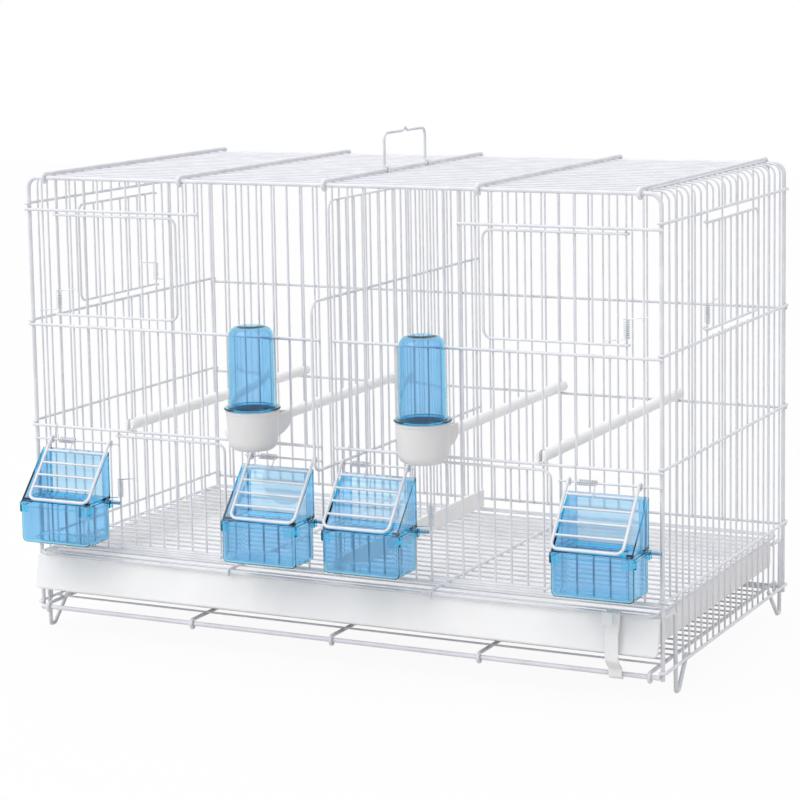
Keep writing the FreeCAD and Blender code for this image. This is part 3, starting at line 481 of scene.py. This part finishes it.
def combined(piece, other, operation):
    """Joins another closed skin to the piece or cuts it away."""
    mesh = to_mesh("tool", *other)
    tool = bpy.data.objects.new("tool", welded(mesh))
    bpy.context.scene.collection.objects.link(tool)
    step = piece.modifiers.new("solid", "BOOLEAN")
    step.operation = operation
    step.solver = "EXACT"
    step.object = tool
    baked(piece)
    bpy.data.objects.remove(tool)


def softened(piece, width):
    """Rounds the piece's sharp edges."""
    step = piece.modifiers.new("edges", "BEVEL")
    step.width = width
    step.segments = EDGE_SEGMENTS
    step.limit_method = "ANGLE"
    step.angle_limit = SHARP_ANGLE
    mesh = baked(piece)
    mesh.shade_smooth()
    mesh.set_sharp_from_angle(angle=SHARP_ANGLE)


def dress(piece, body, slot, *nodes):
    """Keeps the piece's flat faces flat in the light, gives it its body and hides its CAD nodes;
    the slot is not used.
    """
    step = piece.modifiers.new("normals", "WEIGHTED_NORMAL")
    step.keep_sharp = True
    step.weight = NORMAL_WEIGHT
    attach(piece, body)
    if nodes:
        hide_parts(*nodes)


# feeders


def corner_tab(cx, cy, side, way, reach, low, high):
    """A band round an upright corner of the bin, with a leg along each of the two faces."""
    outer = []
    inner = []
    bow = BIN_CORNER + RIM_OUT
    for radius, path in ((bow + TAB_OUT, outer), (bow - TAB_IN, inner)):
        path.append((cx - side * reach, cy + way * radius))
        for k in range(CORNER_STEPS + 1):
            a = QUARTER_TURN * k / CORNER_STEPS
            path.append((cx + side * radius * math.sin(a), cy + way * radius * math.cos(a)))
        path.append((cx + side * radius, cy - way * reach))
    return prism(outer + inner[::-1], 2, low, high)


def bin_profile(base, top):
    """Inset and height along a bin's wall, from its outer floor over the rim to its inner floor."""
    step = top - RIM_HEIGHT
    inner = WALL - RIM_OUT
    profile = [(inset, base + rise) for inset, rise in quarter(BIN_FOOT)]
    profile += [(0, step - RIM_EDGE), (-RIM_OUT + RIM_EDGE, step), (-RIM_OUT, step + RIM_EDGE),
                (-RIM_OUT, top - RIM_EDGE), (-RIM_OUT + RIM_EDGE, top),
                (inner - RIM_EDGE, top), (inner, top - RIM_EDGE),
                (inner, step + WALL), (WALL, step + WALL - RIM_EDGE)]
    inside = quarter(BIN_FOOT - WALL)[::-1]
    return profile + [(WALL + inset, base + BIN_FLOOR + rise) for inset, rise in inside]


def bin_tabs(centre, half, side, front, back, top):
    """At one side of a bin: the tab on the front corner, the block on the back corner, the lug."""
    corner_x = centre + side * (half - BIN_CORNER)
    reach = TAB_WIDTH - BIN_CORNER
    tab = corner_tab(corner_x, front + BIN_CORNER, side, -1, reach, top - TAB_HEIGHT, top - TAB_OUT)
    sides = sorted((centre + side * (half - WALL), centre + side * (half + RIM_OUT + TAB_OUT)))
    outline = box_points(sides[0], sides[1], back - BACK_TAB_DEPTH, back)
    block = prism(outline, 2, top - BACK_TAB_HEIGHT, top - TAB_OUT)
    end = centre + side * (half + RIM_OUT + LUG_LENGTH)
    start = centre + side * (half + TAB_OUT)
    edge = end - side * LUG_END
    points = [(start, back - LUG_DEPTH), (edge, back - LUG_DEPTH),
              (end, back - LUG_DEPTH / 2), (edge, back), (start, back)]
    lug = prism(points, 2, top - RIM_HEIGHT, top - RIM_HEIGHT + LUG_HEIGHT)
    return tab, block, lug


def feeder_bin(number):
    """An open bin with rounded edges, a stepped rim, tabs at its corners and a lug at each side."""
    source = "feeder_bin_" + str(number)
    low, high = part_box(source)
    centre = (low.x + high.x) / 2
    half = (high.x - low.x) / 2 - LUG_LENGTH - RIM_OUT
    front = low.y + TAB_PROUD
    profile = bin_profile(low.z, high.z)
    skin = vessel(centre - half, centre + half, front, high.y - RIM_OUT, BIN_CORNER, profile)
    piece = add_object("bin_" + str(number), to_mesh(source + "_skin", *skin), BLUE)
    for side in (-1, 1):
        for part in bin_tabs(centre, half, side, front, high.y, high.z):
            combined(piece, part, "UNION")
    softened(piece, SOFT_EDGE / 2)
    dress(piece, "feeder_" + str(number), "blue_plastic", source)


def feeder_hood(number):
    """A hood: sloping front, two side walls, a back frame open to the cage, and a ledge inside."""
    source = "feeder_hood_" + str(number)
    low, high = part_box(source)
    run = (high.y - HOOD_TOP_DEPTH - low.y) / (high.z - low.z)
    outline = [(high.y, low.z), (high.y, high.z), (high.y - HOOD_TOP_DEPTH, high.z), (low.y, low.z)]
    under = low.z - WALL
    back = high.y - WALL
    front = low.y + WALL * math.sqrt(1 + run * run) - WALL * run
    hollow = [(back, under), (back, under + (back - front) / run), (front, under)]
    piece = add_object("hood_" + str(number),
                       to_mesh(source + "_skin", *prism(outline, 0, low.x, high.x)), BLUE)
    combined(piece, prism(hollow, 0, low.x + WALL, high.x - WALL), "DIFFERENCE")
    gap = box_points(low.x + HOOD_STILE, high.x - HOOD_STILE, under, high.z - HOOD_LINTEL)
    combined(piece, prism(gap, 1, high.y - HOOD_GAP_DEPTH, high.y + WALL), "DIFFERENCE")
    h = WALL / 2
    y0 = low.y + LEDGE_SETBACK
    ledge = box_points(low.x + h, high.x - h, y0, high.y - h)
    combined(piece, prism(ledge, 2, low.z, low.z + LEDGE_HEIGHT), "UNION")
    d = LEDGE_WIDTH
    hole = box_points(low.x + d, high.x - d, y0 + d, high.y - d)
    combined(piece, prism(hole, 2, under, low.z + 2 * LEDGE_HEIGHT), "DIFFERENCE")
    softened(piece, SOFT_EDGE)
    dress(piece, "feeder_" + str(number), "blue_plastic", source)


# drinkers


def spout_side(start, behind, end, low, top, lift):
    """The spout from the side: a level top, an upright end, an underside that curves up to it."""
    points = [(start, top), (start, low)]
    for k in range(SPOUT_STEPS + 1):
        a = QUARTER_TURN * k / SPOUT_STEPS
        points.append((behind + (end - behind) * math.sin(a), low + lift * (1 - math.cos(a))))
    return points + [(end, top)]


def drinker_cup(number):
    """A round cup with a stepped rim and a spout whose floor rises towards the cage."""
    source = "drinker_cup_" + str(number)
    low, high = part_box(source)
    centre = Vector(((low.x + high.x) / 2, low.y + CUP_R, low.z))
    rise = high.z - low.z
    side = CUP_R - CUP_RIM
    outline = [(0, 0)]
    outline += [(side - CUP_TAPER - inset, height) for inset, height in quarter(CUP_ROUND)]
    outline += [(side, rise - CUP_RIM_HEIGHT), (CUP_R, rise - CUP_RIM_HEIGHT + CUP_RIM),
                (CUP_R, rise - CUP_RIM), (side, rise), (0, rise)]
    piece = add_object("cup_" + str(number),
                       welded(to_mesh(source + "_skin", *lathe(centre, outline))), CUP_WHITE)
    spout_low = low.z + SPOUT_LOW
    spout_top = high.z - SPOUT_TOP_DROP
    behind = centre.y + CUP_R - CUP_ROUND
    lift = spout_top - spout_low - SPOUT_END_HEIGHT
    left, right = centre.x - SPOUT_HALF, centre.x + SPOUT_HALF
    shape = spout_side(centre.y, behind, high.y, spout_low, spout_top, lift)
    combined(piece, prism(shape, 0, left, right), "UNION")
    w = CUP_WALL
    bore = [(0, w)]
    bore += [(side - CUP_TAPER - w - inset, w + height) for inset, height in quarter(CUP_ROUND - w)]
    bore += [(side - w, rise + w), (0, rise + w)]
    combined(piece, lathe(centre, bore), "DIFFERENCE")
    t = SPOUT_WALL
    inside = spout_side(centre.y, behind, high.y - t, spout_low + t, spout_top + t, lift + t / 2)
    combined(piece, prism(inside, 0, left + t, right - t), "DIFFERENCE")
    softened(piece, SOFT_EDGE)
    dress(piece, "drinker_cup_" + str(number), "white_plastic", source)


def drinker_tube(number):
    """A tube with a domed top, a raised disc on it, and a flange that covers the cup."""
    source = "drinker_tube_" + str(number)
    low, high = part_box(source)
    centre = Vector(((low.x + high.x) / 2, (low.y + high.y) / 2, low.z))
    flange_r = (high.x - low.x) / 2
    rise = high.z - low.z - TUBE_DISC_RISE
    top_r = TUBE_R - TUBE_TAPER
    outside = [(TUBE_R, 0), (TUBE_R, FLANGE_Z), (flange_r - RIM_EDGE, FLANGE_Z),
               (flange_r, FLANGE_Z + RIM_EDGE), (flange_r, FLANGE_Z + FLANGE_HEIGHT - 2 * RIM_EDGE),
               (flange_r - 2 * RIM_EDGE, FLANGE_Z + FLANGE_HEIGHT),
               (TUBE_R + RIM_EDGE, FLANGE_Z + FLANGE_HEIGHT),
               (TUBE_R, FLANGE_Z + FLANGE_HEIGHT + RIM_EDGE)]
    outside += [(top_r - inset, rise - drop) for inset, drop in quarter(TUBE_DOME)[::-1]]
    outside += [(TUBE_DISC_R + TUBE_DISC_SLOPE, rise),
                (TUBE_DISC_R, rise + TUBE_DISC_RISE), (0, rise + TUBE_DISC_RISE)]
    w = TUBE_WALL
    inside = [(0, rise - w)]
    inside += [(top_r - w - inset, rise - w - drop) for inset, drop in quarter(TUBE_DOME - w)]
    inside += [(TUBE_R - w, FLANGE_Z), (TUBE_R - w, 0)]
    mesh = welded(to_mesh(source + "_skin", *lathe(centre, outside + inside)))
    piece = add_object("tube_" + str(number), mesh, BLUE)
    dress(piece, "drinker_tube_" + str(number), "blue_plastic", source)


# perches, divider strip, tray


def perch(number):
    """A round perch with eased ends, each slotted to straddle a wire."""
    source = "perch_" + str(number)
    low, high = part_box(source)
    radius = (high.x - low.x) / 2
    centre = (low + high) / 2
    half = (high.y - low.y) / 2
    outline = [(0, -half), (radius - PERCH_EDGE, -half), (radius, PERCH_EDGE - half),
               (radius, half - PERCH_EDGE), (radius - PERCH_EDGE, half), (0, half)]
    mesh = welded(to_mesh(source + "_skin", *lathe(centre, outline, axis=1)))
    piece = add_object("perch_rod_" + str(number), mesh, PERCH_WHITE)
    h = PERCH_SLOT / 2
    for side in (-1, 1):
        ends = sorted((centre.y + side * (half + h), centre.y + side * (half - PERCH_SLOT_DEPTH)))
        slot = box_points(centre.x - h, centre.x + h, low.z - h, high.z + h)
        combined(piece, prism(slot, 1, ends[0], ends[1]), "DIFFERENCE")
    softened(piece, SOFT_EDGE)
    dress(piece, source, "white_plastic", source)


def divider_strip():
    """The strip along the foot of the screen, with eased edges."""
    low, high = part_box("divider_strip")
    skin = prism(box_points(low.x, high.x, low.z, high.z), 1, low.y, high.y)
    piece = add_object("divider_foot", to_mesh("divider_foot_skin", *skin), TRAY_WHITE)
    softened(piece, STRIP_ROUND)
    dress(piece, "divider", "white_plastic", "divider_strip")


def tray():
    """The pull-out tray: a pan with rounded corners behind a leaning front with a rolled lip."""
    low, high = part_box("tray")
    half = high.x - FASCIA_SIDE
    w = TRAY_WALL
    front = low.y + FASCIA_LEAN + w
    base = low.z + PAN_RISE
    top = high.z
    profile = [(inset, base + rise) for inset, rise in quarter(TRAY_FOOT)]
    profile += [(0, top - SOFT_EDGE), (SOFT_EDGE, top), (w - SOFT_EDGE, top), (w, top - SOFT_EDGE),
                (w, base + w + TRAY_FOOT), (w + TRAY_FOOT, base + w)]
    pan = vessel(-half, half, front, high.y, TRAY_CORNER, profile)
    lean = front - FASCIA_LEAN
    r = FASCIA_ROUND
    face = [(front + w, top), (front - w + SOFT_EDGE, top), (front - w, top - SOFT_EDGE)]
    for k in range(FILLET_STEPS + 1):
        a = QUARTER_TURN * k / FILLET_STEPS
        face.append((lean - w + r - r * math.cos(a), low.z + r - r * math.sin(a)))
    face += [(lean + FASCIA_LIP, low.z), (lean + FASCIA_LIP, low.z + w), (lean + w, low.z + w),
             (front + w / 2, top - 2 * w)]
    piece = add_object("tray_pan", to_mesh("tray_skin", *pan), TRAY_WHITE)
    combined(piece, prism(face, 0, -high.x, high.x), "UNION")
    c = FASCIA_CORNER
    for side in (-1, 1):
        corner = [(side * (high.x + w), low.z - w), (side * (high.x - c), low.z - w)]
        for k in range(CORNER_STEPS + 1):
            a = QUARTER_TURN * k / CORNER_STEPS
            corner.append((side * (high.x - c + c * math.sin(a)), low.z + c - c * math.cos(a)))
        corner.append((side * (high.x + w), low.z + c))
        combined(piece, prism(corner, 1, low.y - w, front + c), "DIFFERENCE")
    softened(piece, SOFT_EDGE)
    dress(piece, "tray", "white_plastic", "tray")


# springs


def swept(path, radius):
    """A round wire along a list of points, closed at both ends."""
    loops = []
    side = None
    for k, spot in enumerate(path):
        before = path[max(k - 1, 0)]
        after = path[min(k + 1, len(path) - 1)]
        along = (after - before).normalized()
        if side is None:
            side = along.orthogonal().normalized()
        side = (side - along * side.dot(along)).normalized()
        other = along.cross(side)
        loop = []
        for i in range(WIRE_SIDES):
            a = math.tau * i / WIRE_SIDES
            loop.append(spot + side * (radius * math.cos(a)) + other * (radius * math.sin(a)))
        loops.append(loop)
    return loft(loops)


def coil_path(u, v, w, end):
    """A coil about w from a quarter turn before u: its points, and the ways it starts and ends."""
    start = -QUARTER_TURN
    sweep = end - start
    count = SPRING_TURNS * COIL_STEPS
    points = []
    for k in range(count + 1):
        a = start + sweep * k / count
        points.append((u * math.cos(a) + v * math.sin(a)) * SPRING_MEAN_R
                      + w * (SPRING_LENGTH * k / count))

    def way(a):
        rise = SPRING_LENGTH / sweep
        return ((v * math.cos(a) - u * math.sin(a)) * SPRING_MEAN_R + w * rise).normalized()

    return points, way(start), way(end)


def add_spring(name, path, source):
    """A steel wire spring along the path, in place of its CAD node."""
    mesh = to_mesh(name + "_skin", *swept(path, SPRING_R))
    piece = add_object(name, mesh, STEEL)
    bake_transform(piece)
    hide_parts(source)


def door_spring(source, turn, leaf_on_right):
    """A coil on a door's hinge wire: the lower leg points left, the upper leg right."""
    low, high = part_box(source)
    spin = Matrix.Rotation(turn, 3, "Z")
    u, v, w = spin @ Vector((1, 0, 0)), spin @ Vector((0, 1, 0)), Vector((0, 0, 1))
    axis = (low + high) / 2 - w * (SPRING_LENGTH / 2)
    path, first, last = coil_path(u, v, w, COIL_END)
    path = [axis + p for p in [path[0] - first * DOOR_LEG] + path + [path[-1] + last * DOOR_LEG]]
    ends = [axis, axis + w * SPRING_LENGTH]
    if not leaf_on_right:
        ends.reverse()
    add_spring(source + "_coil", path, source)


def flap_spring(number):
    """A coil on a flap's hinge wire: one leg hooks over the rail above, one rests on the flap."""
    source = "flap_spring_" + str(number)
    low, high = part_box(source)
    u, v, w = Vector((0, 0, -1)), Vector((0, 1, 0)), Vector((1, 0, 0))
    path, first, last = coil_path(u, v, w, FLAP_COIL_END)
    rise = first * (FLAP_UP_LEG + HOOK_R)
    axis = Vector((low.x + SPRING_R + rise.x, high.y - SPRING_R - SPRING_MEAN_R,
                   high.z - SPRING_R + rise.z))
    knee = path[0] - rise
    hook = [knee + Vector((0, HOOK_R + HOOK_TAIL, 0))]
    for k in range(CORNER_STEPS + 1):
        a = QUARTER_TURN * k / CORNER_STEPS
        out = Vector((0, HOOK_R * (1 - math.sin(a)), 0))
        hook.append(knee + out + first * (HOOK_R * (1 - math.cos(a))))
    path = [axis + p for p in hook + path + [path[-1] + last * FLAP_LEG]]
    add_spring(source + "_coil", path, source)


# the object

for number in (1, 2, 3, 4):
    feeder_bin(number)
    feeder_hood(number)
    perch(number)
    flap_spring(number)
for number in (1, 2):
    drinker_cup(number)
    drinker_tube(number)
tray()
divider_strip()
door_spring("upper_left_spring", 0.0, True)
door_spring("upper_right_spring", 0.0, False)
door_spring("lower_left_spring", 0.0, True)
door_spring("lower_right_spring", 0.0, True)
door_spring("right_side_spring", QUARTER_TURN, True)
door_spring("left_side_spring", -QUARTER_TURN, True)

for name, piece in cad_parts.items():
    coat = PERCH_WHITE if name == "tray_clip" else WIRE_COAT
    piece.data.materials.clear()
    piece.data.materials.append(coat)


# floor, light and camera


def background_rays(tree):
    """One for rays that show the background: from the camera, or through gloss or clear plastic."""
    path = node(tree, "ShaderNodeLightPath")
    first = node(tree, "ShaderNodeMath", operation="ADD")
    second = node(tree, "ShaderNodeMath", operation="ADD", use_clamp=True)
    tree.links.new(path.outputs["Is Camera Ray"], first.inputs[0])
    tree.links.new(path.outputs["Is Glossy Ray"], first.inputs[1])
    tree.links.new(first.outputs[0], second.inputs[0])
    tree.links.new(path.outputs["Is Transmission Ray"], second.inputs[1])
    return second.outputs[0]


def make_floor():
    """A pale floor that keeps the object's shadow and shows white elsewhere."""
    half = FLOOR_SIZE / 2
    corners = [(x, y, 0) for x, y in box_points(-half, half, -half, half)]
    mesh = to_mesh("floor", corners, [[0, 1, 2, 3]])
    material = bpy.data.materials.new("pale_floor")
    material.use_nodes = True
    tree = material.node_tree
    shader = tree.nodes["Principled BSDF"]
    shader.inputs["Base Color"].default_value = FLOOR_COLOUR
    shader.inputs["Roughness"].default_value = FLOOR_ROUGHNESS
    glow = node(tree, "ShaderNodeEmission")
    mix = node(tree, "ShaderNodeMixShader")
    share = node(tree, "ShaderNodeMath", operation="MULTIPLY")
    share.inputs[1].default_value = FLOOR_GLOW
    tree.links.new(background_rays(tree), share.inputs[0])
    tree.links.new(share.outputs[0], mix.inputs["Fac"])
    tree.links.new(shader.outputs["BSDF"], mix.inputs[1])
    tree.links.new(glow.outputs["Emission"], mix.inputs[2])
    tree.links.new(mix.outputs["Shader"], tree.nodes["Material Output"].inputs["Surface"])
    floor = add_object("floor", mesh, material)


def make_world():
    """A sky that lights the object from one side and above, behind a white background."""
    world = bpy.data.worlds.new("studio")
    bpy.context.scene.world = world
    world.use_nodes = True
    tree = world.node_tree
    light = tree.nodes["Background"]
    light.inputs["Color"].default_value = SKY_COLOUR
    way = node(tree, "ShaderNodeTexCoord").outputs["Generated"]
    towards = node(tree, "ShaderNodeVectorMath", operation="DOT_PRODUCT")
    towards.inputs[1].default_value = SKY_SIDE
    tree.links.new(way, towards.inputs[0])
    level = spread(tree, towards.outputs["Value"], SKY_LOW, SKY_HIGH)
    tree.links.new(level, light.inputs["Strength"])
    shown = node(tree, "ShaderNodeBackground")
    shown.inputs["Color"].default_value = WHITE
    mix = node(tree, "ShaderNodeMixShader")
    tree.links.new(background_rays(tree), mix.inputs["Fac"])
    tree.links.new(light.outputs["Background"], mix.inputs[1])
    tree.links.new(shown.outputs["Background"], mix.inputs[2])
    tree.links.new(mix.outputs["Shader"], tree.nodes["World Output"].inputs["Surface"])


def area_light(name, spot, size, power):
    """A square lamp that faces the object."""
    lamp = bpy.data.lights.new(name, "AREA")
    lamp.size = size
    lamp.energy = power
    holder = bpy.data.objects.new(name, lamp)
    bpy.context.scene.collection.objects.link(holder)
    holder.location = spot
    aim = LAMP_AIM - Vector(spot)
    holder.rotation_mode = "QUATERNION"
    holder.rotation_quaternion = aim.to_track_quat("-Z", "Y")


def make_camera():
    """The camera that sees the object as the photograph does."""
    turn = Matrix.Rotation(CAMERA_TURN.length, 3, CAMERA_TURN.normalized())
    level = Matrix(((1, 0, 0), (0, 0, -1), (0, 1, 0)))
    rows = turn @ level
    lens = bpy.data.cameras.new("camera")
    lens.sensor_width = SENSOR_MM
    lens.lens = FOCAL_PX * SENSOR_MM / IMAGE_PX
    lens.shift_y = (AXIS_ROW_PX - IMAGE_PX / 2) / IMAGE_PX
    camera = bpy.data.objects.new("camera", lens)
    bpy.context.scene.collection.objects.link(camera)
    axes = Matrix((rows[0], -rows[1], -rows[2])).transposed()
    camera.matrix_world = Matrix.Translation(CAMERA_AT) @ axes.to_4x4()
    bpy.context.scene.camera = camera


make_floor()
make_world()
area_light("key", KEY_AT, KEY_SIZE, KEY_POWER)
area_light("fill", FILL_AT, FILL_SIZE, FILL_POWER)
make_camera()
bpy.context.scene.view_settings.view_transform = "Standard"
